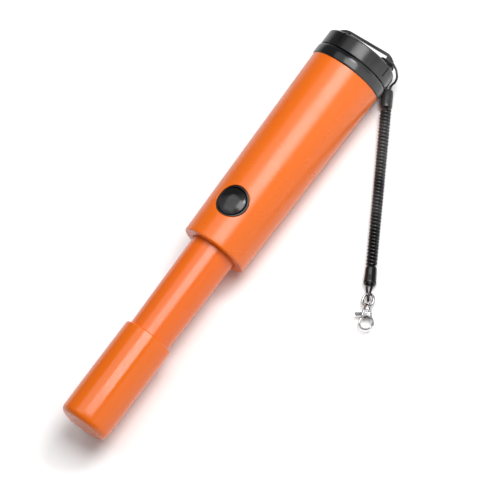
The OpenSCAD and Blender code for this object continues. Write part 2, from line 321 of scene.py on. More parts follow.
def plastic(name, col, rough, vary=0.05, coat=0.0, coat_rough=0.05, grain=900.0, grain_h=0.00002, grain_s=0.15,
            spec=0.5, flow=True, wear=0.0, metallic=0.0, smudge=0.06):
    """moulded plastic: slow colour drift along the flow, fine skin grain, finger smudges in the gloss, faint rub marks."""
    mt, nt, bs, tc = new_mat(name)
    dark = tuple(c * (1 - vary) for c in col)
    light = lerp_c(col, (1, 1, 1), vary * 0.35)
    st = (9.0, 26.0, 26.0) if flow else (30.0, 30.0, 30.0)
    slow = noise_node(nt, tc, 1.0, 3.0, 0.5, st, 0.4)
    c = ramp(nt, slow, [(0.3, dark), (0.5, col), (0.72, light)])
    if wear > 0:
        rub = noise_node(nt, tc, 1.0, 5.0, 0.75, (160.0, 1500.0, 1500.0), 0.2)
        w = to_range(nt, rub, 0.0, wear, 0.68, 0.8)
        mx = nt.nodes.new("ShaderNodeMix")
        mx.data_type = 'RGBA'
        nt.links.new(w, mx.inputs["Factor"])
        nt.links.new(c, mx.inputs[6])
        mx.inputs[7].default_value = (*lerp_c(col, (0.9, 0.88, 0.85), 0.35), 1)
        c = mx.outputs[2]
    nt.links.new(c, bs.inputs["Base Color"])
    sm = noise_node(nt, tc, 45.0, 4.0, 0.6, None, 0.8)
    nt.links.new(to_range(nt, sm, max(0.03, rough - smudge), rough + smudge, 0.3, 0.72), bs.inputs["Roughness"])
    g = noise_node(nt, tc, grain, 3.0, 0.6)
    n1 = bump(nt, bs, g, grain_s, grain_h)
    waves = noise_node(nt, tc, 60.0, 2.0, 0.5)
    bump(nt, bs, waves, 0.12, 0.00006, n1)
    bs.inputs["Specular IOR Level"].default_value = spec
    bs.inputs["Coat Weight"].default_value = coat
    bs.inputs["Coat Roughness"].default_value = coat_rough
    bs.inputs["Metallic"].default_value = metallic
    return mt


def metal(name, col, rough, vary=0.06, brushed=None, tarnish_and_painted_reflection=0.15):
    mt, nt, bs, tc = new_mat(name)
    slow = noise_node(nt, tc, 220.0, 4.0, 0.6, None, 0.5)
    # dark and light blotches in the base colour: random tone and tarnish; on the chrome parts the weight is raised so
    # they are painted dark and bright reflection
    c = ramp(nt, slow, [(0.3, tuple(x * (1 - vary - tarnish_and_painted_reflection) for x in col)), (0.5, col), (0.75, lerp_c(col, (1, 1, 1), vary))])
    nt.links.new(c, bs.inputs["Base Color"])
    st = brushed or (900.0, 900.0, 900.0)
    g = noise_node(nt, tc, 1.0, 4.0, 0.65, st)
    nt.links.new(to_range(nt, g, rough * 0.7, rough * 1.5), bs.inputs["Roughness"])
    bump(nt, bs, g, 0.12 if brushed else 0.06, 0.00003)
    bs.inputs["Metallic"].default_value = 1.0
    return mt


ORANGE = (0.70, 0.126, 0.002)
M = {}
M["housing"] = plastic("orange_housing", ORANGE, 0.30, vary=0.035, grain=1500.0, grain_s=0.10, wear=0.10, spec=0.5)
M["tube"] = plastic("orange_tube", (0.70, 0.119, 0.002), 0.24, vary=0.035, grain=1200.0, grain_s=0.05, wear=0.10, spec=0.5)
M["sleeve"] = plastic("orange_gloss", (0.70, 0.126, 0.002), 0.19, vary=0.035, grain=900.0, grain_s=0.03, wear=0.12, spec=0.5)
M["band"] = plastic("black_gloss", (0.006, 0.0065, 0.0075), 0.18, vary=0.2, grain=900.0, grain_s=0.04, wear=0.06, spec=0.34)
M["cap"] = plastic("black_cap", (0.006, 0.006, 0.0062), 0.23, vary=0.2, grain=2200.0, grain_s=0.2, grain_h=0.00003, wear=0.08, spec=0.36)
M["button"] = plastic("button_black", (0.005, 0.005, 0.0055), 0.17, vary=0.2, grain=900.0, grain_s=0.04, flow=False, wear=0.05, spec=0.35)
M["bezel"] = plastic("bezel_black", (0.005, 0.005, 0.0055), 0.30, vary=0.2, grain=1600.0, grain_s=0.12, flow=False, spec=0.25)
M["rubber"] = plastic("seal_rubber", (0.016, 0.016, 0.016), 0.6, vary=0.25, grain=2500.0, grain_s=0.35, flow=False, spec=0.3)
M["inner_black"] = plastic("inner_black", (0.022, 0.022, 0.023), 0.5, vary=0.2, grain=1800.0, grain_s=0.3, flow=False)
M["inner_white"] = plastic("inner_white", (0.72, 0.71, 0.66), 0.42, vary=0.06, grain=1500.0, grain_s=0.15, flow=False)
M["steel"] = metal("spring_steel", (0.62, 0.62, 0.63), 0.22)
# painted reflection: the clasp chrome's base colour is lowered and blotched dark and light in place of mirrored dark
# surroundings; the lever is the same chrome with a much darker base colour, as painted shade
M["chrome"] = metal("clasp_chrome", (0.42, 0.42, 0.43), 0.14, vary=0.10, tarnish_and_painted_reflection=0.30)
M["lever"] = metal("lever_chrome_painted_shade", (0.13, 0.13, 0.135), 0.22, vary=0.10, tarnish_and_painted_reflection=0.30)
M["alu"] = metal("can_aluminium", (0.72, 0.73, 0.74), 0.30, brushed=(200.0, 3000.0, 3000.0))
M["brass"] = metal("brass_part", (0.72, 0.52, 0.24), 0.26)
M["cell"] = plastic("cell_wrap", (0.03, 0.13, 0.42), 0.28, vary=0.08, grain=500.0, grain_s=0.2, flow=False)
M["wire"] = plastic("wire_red", (0.45, 0.02, 0.02), 0.38, vary=0.1, flow=False)
M["ferrite"] = plastic("ferrite", (0.045, 0.045, 0.050), 0.55, vary=0.25, grain=2600.0, grain_s=0.5, flow=False)
M["cord"] = plastic("cord_black", (0.005, 0.005, 0.0055), 0.24, vary=0.2, grain=2500.0, grain_s=0.08, flow=False, spec=0.35)
M["ferrule"] = plastic("ferrule_black", (0.005, 0.005, 0.0055), 0.27, vary=0.2, grain=2000.0, grain_s=0.15, flow=False, spec=0.35)


def board_mat():
    mt, nt, bs, tc = new_mat("circuit_board")
    v = nt.nodes.new("ShaderNodeTexVoronoi")
    v.inputs["Scale"].default_value = 420.0
    v.distance = 'MANHATTAN'
    nt.links.new(tc.outputs["Object"], v.inputs["Vector"])
    c = ramp(nt, v.outputs["Distance"], [(0.0, (0.45, 0.42, 0.20)), (0.12, (0.012, 0.11, 0.045)), (0.6, (0.010, 0.085, 0.035))])
    nt.links.new(c, bs.inputs["Base Color"])
    g = noise_node(nt, tc, 900.0)
    nt.links.new(to_range(nt, g, 0.25, 0.4), bs.inputs["Roughness"])
    bump(nt, bs, v.outputs["Distance"], 0.2, 0.00005)
    return mt


def winding_mat():
    mt, nt, bs, tc = new_mat("winding_copper")
    w = nt.nodes.new("ShaderNodeTexWave")
    w.bands_direction = 'X'
    w.inputs["Scale"].default_value = 1100.0
    w.inputs["Distortion"].default_value = 0.4
    w.inputs["Detail"].default_value = 1.0
    nt.links.new(tc.outputs["Object"], w.inputs["Vector"])
    c = ramp(nt, w.outputs["Fac"], [(0.1, (0.18, 0.06, 0.02)), (0.6, (0.62, 0.26, 0.09)), (0.95, (0.85, 0.45, 0.2))])
    nt.links.new(c, bs.inputs["Base Color"])
    g = noise_node(nt, tc, 400.0)
    nt.links.new(to_range(nt, g, 0.22, 0.38), bs.inputs["Roughness"])
    bump(nt, bs, w.outputs["Fac"], 0.6, 0.0001)
    bs.inputs["Metallic"].default_value = 0.9
    return mt


M["board"] = board_mat()
M["winding"] = winding_mat()

NODE_MAT = {
    "handle_shell": "housing", "probe_tube": "tube", "tip_sleeve": "sleeve", "button_bezel": "bezel",
    "button_cap": "button", "button_spring": "steel", "button_seal": "rubber", "tact_switch": "inner_black",
    "tact_plunger": "brass", "main_board": "board", "board_chips": "inner_black", "board_capacitors": "alu",
    "buzzer": "inner_black", "motor_can": "alu", "eccentric_weight": "brass", "motor_clip": "inner_black",
    "battery_cell": "cell", "battery_cradle": "inner_black", "battery_tabs": "steel", "battery_wires": "wire",
    "ferrite_rod": "ferrite", "coil_bobbin": "inner_white", "search_winding": "winding", "coil_leads": "wire",
    "end_collar": "band", "port_bulkhead": "inner_black", "bulkhead_screws": "steel", "bulkhead_gasket": "rubber",
    "usb_port": "chrome", "port_board": "board", "port_wires": "wire", "charge_led": "inner_white",
    "cap_o_ring": "rubber", "screw_cap": "cap", "upper_loop": "cord", "upper_ferrule": "ferrule",
    "coil_tether": "cord", "lower_ferrule": "ferrule", "lower_loop": "cord", "swivel_eye": "chrome",
    "clasp_body": "chrome", "trigger_lever": "chrome", "trigger_pin": "chrome", "trigger_spring": "steel"}
for n, key in NODE_MAT.items():
    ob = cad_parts[n]
    ob.data.materials.clear()
    ob.data.materials.append(M[key])


# ---------------------------------------------------------------- housing
BX, HOLE = 11.2, 8.45


def r_out(x):
    return 17.5 + (19.4 - 17.5) * (x + 10.2) / (98.8 + 10.2)


def r_in(x):
    return 15.3 + (16.95 - 15.3) * (x + 8.9) / 94.9


def on_cyl(r, y):
    return AX + sqrt(max(r * r - y * y, 0.0))


def ring_strip(A, B, faces):
    n = len(A)
    for k in range(n):
        faces.append([A[k], A[(k + 1) % n], B[(k + 1) % n], B[k]])


def housing():
    NA, KP = 144, 17
    xs = [BX - 12.0 + i for i in range(25)]
    front = fillet([(12.3, -8.9, 0), (12.3, -11.1, 0.1), (12.6, -11.4, 0.1), (14.3, -11.4, 0), (16.0, -11.4, 0),
                    (17.49, -11.4, 1.0), (r_out(-8), -8.0, 0)], closed=False)
    outer_a = [(r_out(x), x) for x in (-7.0, -5.0, -3.0)]
    outer_m = [(r_out(x), x) for x in xs]
    outer_b = [(r_out(x), x) for x in [BX + 12 + 1.5 * i for i in range(1, 52)] if x < 97.5]
    rear = fillet([(r_out(97.9), 97.9, 0), (19.4, 98.8, 0.22), (18.2, 98.8, 0), (17.2, 98.8, 0.1), (17.2, 96, 0)], closed=False)
    inner_b = [(17.2, 86.0)] + [(r_in(x), x) for x in [86, 80, 70, 60, 50, 40, 30, 26]]
    inner_m = [(r_in(x), x) for x in reversed(xs)]
    inner_a = [(r_in(x), x) for x in (-4.0, -8.9)]
    prof = front + outer_a + outer_m + outer_b + rear + inner_b + inner_m + inner_a
    o0 = len(front) + len(outer_a)
    i0 = o0 + len(outer_m) + len(outer_b) + len(rear) + len(inner_b)
    n = NA
    V, rows = [], []
    for r, x in prof:
        rows.append(len(V))
        V += [(x, r * sin(2 * pi * k / n), AX + r * cos(2 * pi * k / n)) for k in range(n)]
    F = []
    for i in range(len(prof)):
        j = (i + 1) % len(prof)
        skip = (o0 <= i < o0 + 24) or (i0 <= i < i0 + 24)
        for k in range(n):
            kk = k if k < n // 2 else k - n
            if skip and -KP <= kk < KP:
                continue
            F.append([rows[i] + k, rows[i] + (k + 1) % n, rows[j] + (k + 1) % n, rows[j] + k])

    def loop(rf):
        """the patch's border as (x, y): along +x on one side, across, back, across."""
        a = 2 * pi / n
        q = [(x, rf(x) * sin(KP * a)) for x in xs[:-1]]
        q += [(xs[-1], rf(xs[-1]) * sin(k * a)) for k in range(KP, -KP, -1)]
        q += [(x, rf(x) * sin(-KP * a)) for x in reversed(xs[1:])]
        q += [(xs[0], rf(xs[0]) * sin(k * a)) for k in range(-KP, KP)]
        return q
    # polar rings between the hole and the border, on the outer and the inner face
    ends = []
    for rf, rin in ((r_out, HOLE + 0.35), (r_in, HOLE)):
        border = loop(rf)
        rings = []
        NR = 7
        for j in range(NR + 1):
            t = 1 - j / NR
            ring = []
            for x, y in border:
                a = atan2(y, x - BX)
                cx, cy = BX + rin * cos(a), rin * sin(a)
                px, py = cx + (x - cx) * t, cy + (y - cy) * t
                ring.append(len(V))
                V.append((px, py, on_cyl(rf(px), py)))
            rings.append(ring)
        for A, B in zip(rings, rings[1:]):
            ring_strip(A, B, F)
        ends.append((rings[-1], [atan2(y, x - BX) for x, y in border]))
    # rounded lip and the hole's wall
    last, ang = ends[0]
    for b in (25, 50, 75, 90):
        ring = []
        for v, a in zip(ends[0][0], ang):
            r = HOLE + 0.35 - 0.35 * sin(radians(b))
            ring.append(len(V))
            V.append((BX + r * cos(a), r * sin(a), V[v][2] - 0.35 * (1 - cos(radians(b)))))
        ring_strip(last, ring, F)
        last = ring
    # the inner ring has its own angles; the two rims are joined one to one
    ring_strip(last, ends[1][0], F)
    # screw posts inside
    for by, bz in ((11.2, 27.0), (-11.2, 27.0)):
        o = len(V)
        pr = [(0, 76), (2.4, 76), (2.4, 86), (1.05, 86), (1.05, 77), (0, 77)]
        v2, f2 = lathe_data(pr, 32)
        V += [(x, y + by, z - AX + bz) for x, y, z in v2]
        F += [[i + o for i in g] for g in f2]
        o = len(V)
        c = Vector((0, by, bz - AX)).normalized()
        s = Vector((0, -c.z, c.y))
        q = []
        for d, w in ((14.5, -1.4), (17.35, -1.4), (17.35, 1.4), (14.5, 1.4)):
            p = c * d + s * w
            q.append((p.y, p.z + AX))
        V += [(76.2, *a) for a in q] + [(85.8, *a) for a in q]
        F += [[o, o + 1, o + 2, o + 3], [o + 7, o + 6, o + 5, o + 4]] + [[o + k, o + 4 + k, o + 4 + (k + 1) % 4, o + (k + 1) % 4] for k in range(4)]
    return mesh_obj("housing", V, F, M["housing"], sharp=32)


ob = housing()
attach(ob, "handle")
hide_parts("handle_shell")

# ---------------------------------------------------------------- tube, sleeve, collar
prof = fillet([(11.05, -116.8, 0), (11.25, -64.5, 0), (12.1, -11.4, 0), (12.1, -8.8, 0.1), (14.9, -8.8, 0.3),
               (14.9, -6.8, 0.3), (9.8, -6.8, 0.3), (9.8, -115.0, 0.3), (0, -115.0, 0), (0, -116.8, 0)])
ob = lathe("search_tube", dense(prof, 2.0), M["tube"], n=144)
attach(ob, "handle")
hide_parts("probe_tube")

prof = fillet([(0, -120.0, 0), (2.2, -120.0, 0), (5.5, -119.93, 0), (9.0, -119.85, 0), (13.25, -119.8, 3.2), (13.3, -100, 0),
               (13.28, -70, 0), (13.25, -65.2, 0.75), (11.6, -65.2, 0.12), (11.62, -66.1, 0), (11.3, -67.5, 0),
               (11.3, -117.0, 0.5), (0, -117.0, 0)])
ob = lathe("tip_cover", dense(prof, 2.0), M["sleeve"], n=144)
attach(ob, "handle")
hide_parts("tip_sleeve")

prof = [(17.6, 98.85, 0.1)]
prof += [(19.72, 98.85, 0.45)]
prof += [(20.0 - 0.10 * ((x - 101.4) / 2.6) ** 2, x, 0) for x in (99.5, 100.0, 100.6, 101.4, 102.4, 103.2)]
prof += [(19.72, 104.2, 0.5), (19.3, 104.7, 0.25), (15.6, 104.7, 0.3), (15.6, 88.6, 0.2), (17.15, 88.6, 0.2), (17.15, 98.85, 0)]
ob = lathe("collar_band", dense(fillet(prof), 1.2), M["band"], n=180)
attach(ob, "handle")
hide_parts("end_collar")


# ---------------------------------------------------------------- button and its ring
def post_obj(name, section, mats, n=128, sharp=35):
    """closed section of (radius, height, follow) turned round the button's axis; with follow the height is taken
    from the cylinder of that radius about the probe's axis."""
    V, rows = [], []
    for r, z, follow in section:
        rows.append(len(V))
        for k in range(n):
            a = 2 * pi * k / n
            y = r * sin(a)
            V.append((BX + r * cos(a), y, z if not follow else on_cyl(follow, y) + z))
    F = []
    for i in range(len(section)):
        j = (i + 1) % len(section)
        for k in range(n):
            F.append([rows[i] + k, rows[i] + (k + 1) % n, rows[j] + (k + 1) % n, rows[j] + k])
    return mesh_obj(name, V, F, mats, sharp=sharp)


RT = 17.55
sec = [(2.0, 30.6, 0), (9.35, 30.6, 0), (9.5, 30.75, 0), (9.5, 31.85, 0), (9.35, 32.0, 0), (8.4, 32.0, 0),
       (8.4, -0.9, RT), (8.4, -0.25, RT), (8.33, -0.07, RT), (8.15, 0.0, RT), (7.75, 0.0, RT), (7.56, -0.06, RT), (7.47, -0.25, RT),
       (7.45, -1.0, RT), (7.45, 31.95, 0), (7.3, 31.8, 0), (2.1, 31.8, 0), (2.0, 31.7, 0)]
ob = post_obj("button_ring", sec, M["bezel"])
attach(ob, "handle")
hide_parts("button_bezel")

dome = [(7.1 * u, 36.95 + 1.33 * (1 - u ** 2.4), 0) for u in (0.02, 0.1, 0.2, 0.3, 0.4, 0.5, 0.6, 0.7, 0.78, 0.85, 0.9, 0.94)]
sec = [(0.02, 30.45, 0), (1.75, 30.45, 0), (1.9, 30.6, 0), (1.9, 35.0, 0), (6.9, 35.0, 0), (7.1, 35.2, 0),
       (7.1, 36.6, 0), (7.07, 36.8, 0), (6.98, 36.98, 0), (6.85, 37.1, 0)] + dome[::-1]
ob = post_obj("push_button", sec, M["button"])
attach(ob, "button")
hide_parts("button_cap")


# ---------------------------------------------------------------- screw cap
def screw_cap():
    angs = []
    for k in range(4):
        c = -(-radians(15) + k * pi / 2)
        near = [c + radians(d) for d in (-2.9, -2.5, -2.25, -2.1, -1.98, -1.86, -1.74, -1.62, -1.5, -1.3, -1.0, -0.6, 0,
                                         0.6, 1.0, 1.3, 1.5, 1.62, 1.74, 1.86, 1.98, 2.1, 2.25, 2.5, 2.9)]
        far = [c + radians(2.9 + (90 - 5.8) * j / 32) for j in range(1, 32)]
        angs += near + far
    angs = sorted(a % (2 * pi) for a in angs)
    n = len(angs)
    cen = [(-(-radians(15) + k * pi / 2)) % (2 * pi) for k in range(4)]
    xs = [107.0, 107.2, 107.3, 107.4, 107.5, 107.6, 107.75, 107.95, 108.2, 108.6, 109.2, 110.0, 111.0, 112.0, 112.2]
    prof = [(13.0, 105.6), (13.0, 96.7), (13.2, 96.5), (14.7, 96.5)]
    prof += [(15.0, 96.75 + 0.18 * i) for i in range(30)]
    prof += [(15.45, 102.1), (15.4, 102.2), (14.3, 102.2), (14.3, 103.8), (15.4, 103.8), (15.5, 103.9), (15.5, 105.1)]
    body = fillet([(15.5, 105.1, 0), (19.45, 105.1, 0.5), (19.5, 106.8, 0)], closed=False)[1:]
    prof += body + [(19.5, x) for x in xs]
    prof += fillet([(19.5, 112.2, 0), (19.5, 112.65, 0.2), (18.7, 113.5, 0.25), (18.0, 113.5, 0)], closed=False)[1:]
    prof += [(16.0, 113.5), (12.0, 113.5), (6.0, 113.5), (0, 113.5), (0, 105.6)]
    V, rows = [], []
    for r, x in prof:
        rows.append(len(V))
        if r < 1e-6:
            V += [(x, 0, AX)] * n
            continue
        for a in angs:
            q = r
            if 96.7 < x < 102.0 and abs(r - 15.0) < 1e-6:      # thread, two to the turn
                ph = ((x - 96.5) / 2.0 - a / (2 * pi)) % 1.0
                lobe = max(0.0, 1 - abs(ph - 0.5) / 0.34)
                q = 14.85 + 0.62 * min(1.0, lobe * 1.35) * smooth(96.6, 97.4, x) * (1 - smooth(101.3, 102.0, x))
            if x > 106.9 and r > 17.5:
                d = min(abs((a - c + pi) % (2 * pi) - pi) for c in cen) * 19.5
                w = 0.62
                sd = d - w if x > 107.2 + w else math.hypot(d, x - 107.2 - w) - w
                q = min(q, 19.5 - 0.6 * (1 - smooth(-0.10, 0.05, sd)))
            V.append((x, q * sin(a), AX + q * cos(a)))
    F = []
    for i in range(len(prof)):
        j = (i + 1) % len(prof)
        for k in range(n):
            F.append([rows[i] + k, rows[i] + (k + 1) % n, rows[j] + (k + 1) % n, rows[j] + k])
    return mesh_obj("cap_body", V, F, M["cap"], sharp=40)


ob = screw_cap()
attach(ob, "cap")


def resample(p, n):
    tot = path_len([(a, b, 0) for a, b in p])
    out, i, done = [], 0, 0.0
    for k in range(n + 1):
        want = tot * k / n
        while i < len(p) - 2 and done + math.hypot(p[i + 1][0] - p[i][0], p[i + 1][1] - p[i][1]) < want:
            done += math.hypot(p[i + 1][0] - p[i][0], p[i + 1][1] - p[i][1])
            i += 1
        d = math.hypot(p[i + 1][0] - p[i][0], p[i + 1][1] - p[i][1])
        t = min(1.0, (want - done) / d) if d > 0 else 0
        out.append((p[i][0] + (p[i + 1][0] - p[i][0]) * t, p[i][1] + (p[i + 1][1] - p[i][1]) * t))
    return out


def strap():
    e = [(113.5 + 6.5 * cos(radians(a)), -11 + 7.5 * sin(radians(a))) for a in range(-90, 1, 5)]
    outer = [(112.9, -18.5)] + e + [(x, -y) for x, y in reversed(e)] + [(112.9, 18.5)]
    xi = 120 - 1.1 - 1.4
    c = [(xi + 1.4 * cos(radians(a)), -11.2 + 1.4 * sin(radians(a))) for a in range(-90, 1, 10)]
    inner = [(112.9, -12.6)] + c + [(x, -y) for x, y in reversed(c)] + [(112.9, 12.6)]
    # a rounded section swept between the two outlines
    N = 96
    A, B = resample(outer, N), resample(inner, N)
    half, R = 1.6, 0.35
    V, F, rows = [], [], []
    for (ax_, ay), (bx, by) in zip(A, B):
        w = math.hypot(bx - ax_, by - ay)
        ux, uy = (bx - ax_) / w, (by - ay) / w
        row = []
        for cx, cz, a0 in ((R, half - R, 180), (w - R, half - R, 90), (w - R, -half + R, 0), (R, -half + R, -90)):
            for j in range(5):
                a = radians(a0 - 22.5 * j)
                d, z = cx + R * cos(a), cz + R * sin(a)
                row.append(len(V))
                V.append((ax_ + ux * d, ay + uy * d, AX + z))
        rows.append(row)
    for P, Q in zip(rows, rows[1:]):
        ring_strip(P, Q, F)
    F.append(rows[0][::-1])
    F.append(list(rows[-1]))
    return mesh_obj("cap_strap", V, F, M["cap"], sharp=50)


ob = strap()
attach(ob, "cap")
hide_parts("screw_cap")
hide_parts("screw_cap")


# ---------------------------------------------------------------- lanyard
def lan_lathe(name, profile, mats, n=96, sharp=35, extra=None):
    """closed profile of (radius, s) turned round the lanyard's own axis."""
    V, rows = [], []
    for r, s in profile:
        rows.append(len(V))
        for k in range(n):
            a = 2 * pi * k / n
            q = r if extra is None else r + extra(r, s, a)
            V.append(L(s, q * sin(a), LZ + q * cos(a)))
    F = []
    for i in range(len(profile)):
        j = (i + 1) % len(profile)
        for k in range(n):
            F.append([rows[i] + k, rows[i] + (k + 1) % n, rows[j] + (k + 1) % n, rows[j] + k])
    return mesh_obj(name, V, F, mats, sharp=sharp)


# the coiled cord: 46 turns, with a slight wobble in the pitch
TURNS, R_HEL, R_CORD, PER = 46, 1.93, 0.86, 26


def coil_point(u):
    """u from 0 to 1 along the coil."""
    g = u + 0.0022 * sin(2 * pi * u)
    s = S_COIL + 0.95 + (COIL_LEN - 1.9) * g + 0.10 * sin(2 * pi * 5.3 * u)
    a = 2 * pi * TURNS * u + 0.6
    sag = 0.035 * sin(2 * pi * 3.1 * u + 1.0)
    return L(s, R_HEL * sin(a), LZ + R_HEL * cos(a) + sag)


N_C = TURNS * PER
coil_path = [coil_point(i / N_C) for i in range(N_C + 1)]
V, F = tube_data(coil_path, R_CORD, sides=12, first=(0.2, 0.3, 0.93))
coil = mesh_obj("coil_cord", V, F, M["cord"], sharp=60)
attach(coil, "lanyard")
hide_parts("coil_tether")


# crimps: short moulded barrels with a rounded mouth and two flats
def ribs(s0, s1):
    def f(r, s, a):
        if r < 2.4 or not (s0 + 0.6 < s < s1 - 0.6):
            return 0.0
        flat = 0.16 * smooth(0.80, 0.97, abs(cos(a - 0.5)))
        return -flat
    return f


prof = dense(fillet([(0.35, 0.0, 0), (2.75, 0.0, 0.35), (3.0, 0.9, 0.3), (3.0, 8.2, 0.3), (2.72, 9.3, 0.3), (0.35, 9.3, 0)]), 0.45)
up_fer = lan_lathe("crimp_upper", prof, M["ferrule"], extra=ribs(0.0, 9.3))
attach(up_fer, "lanyard")
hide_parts("upper_ferrule")

prof = dense(fillet([(0.35, S_LOW, 0), (2.6, S_LOW, 0.35), (2.9, S_LOW + 0.9, 0.4), (3.0, S_LOW + 5.0, 3.0),
                     (3.24, S_END - 0.75, 0.3), (3.0, S_END - 0.02, 0.32), (2.1, S_END - 0.02, 0.12), (2.0, S_END - 0.5, 0.1),
                     (0.35, S_END - 0.5, 0)]), 0.45)
low_fer = lan_lathe("crimp_lower", prof, M["ferrule"], extra=ribs(S_LOW, S_END))
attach(low_fer, "lanyard")
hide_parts("lower_ferrule")

# thin cord through the cap's strap
UP = [[107.32, -14.67, 3.3], [108.8, -13.9, 3.4], [111, -14.1, 4.4], [113.3, -14.6, 5.8], [115.1, -13.9, 8.4],
      [115.7, -12.3, 12], [115.7, -11.7, 16], [115.6, -11.7, 19.5], [115.6, -11.75, 21.6], [115.6, -11.97, 23.4],
      [115.7, -13.4, 23.95], [115.7, -16, 23.95], [115.7, -17.9, 23.85], [115.7, -18.9, 23.4], [115.7, -19.2, 21.4],
      [115.7, -19.2, 18.5], [115.4, -19, 15], [114.5, -18.5, 10], [112.9, -17.4, 6.4], [111.2, -15.9, 4.2],
      [109.9, -15.9, 3.5], [108.48, -16.53, 3.3]]
up_path = catmull(UP, 8)
V, F = tube_data(up_path, 0.6, sides=14, first=(0, 0, 1))
up_loop = mesh_obj("loop_upper", V, F, M["cord"], sharp=60)

LOW = [[0, 1.3, 3.5], [1.6, 1.4, 3.7], [3.8, 1.2, 4.6], [5.9, 0.8, 5], [7.8, 0.3, 4.7], [8.7, 0, 3.3],
       [7.8, -0.3, 1.9], [5.9, -0.8, 1.6], [3.8, -1.2, 2], [1.6, -1.4, 2.9], [0, -1.3, 3.1]]
low_path = catmull([L(S_END + s, y, z) for s, y, z in LOW], 8)
head = [L(S_END - 0.6, 1.28, 3.46)]
tail = [L(S_END - 0.6, -1.28, 3.14)]
V, F = tube_data(head + low_path + tail, 0.6, sides=14, first=(0, 0, 1))
low_loop = mesh_obj("loop_lower", V, F, M["cord"], sharp=60)
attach(low_loop, "lanyard")
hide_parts("lower_loop")

# ---------------------------------------------------------------- swivel and clasp
def C(s, y, z):
    """clasp coordinates: s past the lower crimp, y across, z from the lanyard's axis."""
    return L(S_END + s, y, LZ + z)


def c_lathe(profile, n=72):
    V, rows = [], []
    for r, s in profile:
        rows.append(len(V))
        V += [C(s, r * sin(2 * pi * k / n), r * cos(2 * pi * k / n)) for k in range(n)]
    F = []
    for i in range(len(profile)):
        j = (i + 1) % len(profile)
        for k in range(n):
            F.append([rows[i] + k, rows[i] + (k + 1) % n, rows[j] + (k + 1) % n, rows[j] + k])
    return V, F


# swivel eye: a D of wire whose two feet run into a flared neck
arc_pts = [(8.0 + 2.75 * cos(radians(a)), 2.75 * sin(radians(a))) for a in range(100, 261, 8)]
d_line = [(11.1, 0.95), (10.5, 2.1), (9.5, 2.62), (8.6, 2.76)] + arc_pts + [(8.6, -2.76), (9.5, -2.62), (10.5, -2.1), (11.1, -0.95)]
d_path = catmull([C(s, y, 0) for s, y in d_line], 3)
eye = tube_data(d_path, 0.66, sides=20, first=(0, 0, 1))
neck = c_lathe(fillet([(0.02, 10.45, 0), (1.75, 10.45, 0.35), (1.8, 11.1, 0.3), (1.08, 11.75, 0.25), (1.08, 12.98, 0.0),
                       (1.45, 12.98, 0.12), (1.45, 13.55, 0.15), (0.02, 13.55, 0)]), 64)
V, F = join([eye, neck])
ob_eye = mesh_obj("swivel_loop", V, F, M["chrome"], sharp=45)
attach(ob_eye, "lanyard")
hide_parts("swivel_eye")

# clasp: collar, flat cheeks with the lever between them, and the wire ring
PIN_S, RING_S, RING_R = 15.7, 20.4, 3.45
col = c_lathe(fillet([(1.16, 11.9, 0.08), (2.0, 11.9, 0.22), (2.2, 12.35, 0.15), (2.05, 12.75, 0.1), (2.2, 13.1, 0.15), (2.2, 13.9, 0.25),
                      (1.95, 14.3, 0.1), (1.6, 14.3, 0.05), (1.6, 12.95, 0), (1.16, 12.9, 0)]), 72)


def cheek(z0, z1, outline, bore=0.6, inset=0.16, rim=0.42):
    """plate between two heights with a rounded outline and a bore about the rivet."""
    n = len(outline)
    ring = lambda k, z: [C(PIN_S + (s - PIN_S) * k, y * k, z) for s, y in outline]
    bev = 0.18
    up = 1 if z1 > z0 else -1
    hole = lambda r, z: [C(PIN_S + r * cos(atan2(y, s - PIN_S)), r * sin(atan2(y, s - PIN_S)), z) for s, y in outline]
    rows = [hole(bore, z0), ring(1.0, z0), ring(1.0, z1 - up * bev), ring(0.985, z1 - up * bev * 0.4), ring(0.94, z1),
            ring(0.80, z1), ring(0.76, z1 - up * inset * 0.5), ring(0.70, z1 - up * inset), hole(1.45, z1 - up * inset),
            hole(1.30, z1 - up * inset * 0.6), hole(1.22, z1), hole(bore + 0.08, z1), hole(bore, z1 - up * 0.08)]
    V, F = [], []
    for r in rows:
        V += r
    m_ = len(rows)
    for i in range(m_):
        j = (i + 1) % m_
        for k in range(n):
            F.append([i * n + k, i * n + (k + 1) % n, j * n + (k + 1) % n, j * n + k])
    return V, F


raw = [(14.0, 1.75, 0.35), (14.0, -1.75, 0.35), (15.6, -2.25, 0.5), (17.2, -2.35, 0.45), (18.05, -1.75, 0.3), (17.35, -0.9, 0.5),
       (17.0, 0.0, 0.8), (17.35, 0.9, 0.5), (18.0, 1.7, 0.3), (17.2, 2.15, 0.45), (15.6, 2.1, 0.5)]
out_l = dense(fillet(raw), 0.22)
top = cheek(0.82, 2.0, out_l)
bot = cheek(-0.84, -2.0, out_l)


def ring_arc(a0, a1, r_of, sides=18, ends=True, steps=72, z_of=None):
    p = []
    for i in range(steps + 1):
        a = radians(a0 + (a1 - a0) * i / steps)
        # a circle of radius RING_R about RING_S
        p.append(C(RING_S + RING_R * cos(a), RING_R * sin(a), z_of(i / steps) if z_of else 0.0))
    return tube_data(p, r_of, sides=sides, first=(0, 0, 1))


def r_claw(t):
    return 0.5 * sqrt(max(0.02, 1 - max(0.0, (t - 0.985) / 0.015) ** 2)) if t > 0.985 else 0.5 + 0.12 * (1 - smooth(0.0, 0.10, t))


claw = ring_arc(207, 412, r_claw)
# the claw's root rises from both cheeks
root = tube_data([C(17.1, -1.95, -1.2), C(17.4, -1.97, -0.6), C(17.5, -1.95, 0.0), C(17.4, -1.97, 0.6), C(17.1, -1.95, 1.2)], 0.55, sides=14,
                 first=(1, 0, 0))
V, F = join([col, top, bot, claw, root])
clasp = mesh_obj("clasp_frame", V, F, M["chrome"], sharp=38)
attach(clasp, "clasp")
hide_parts("clasp_body")


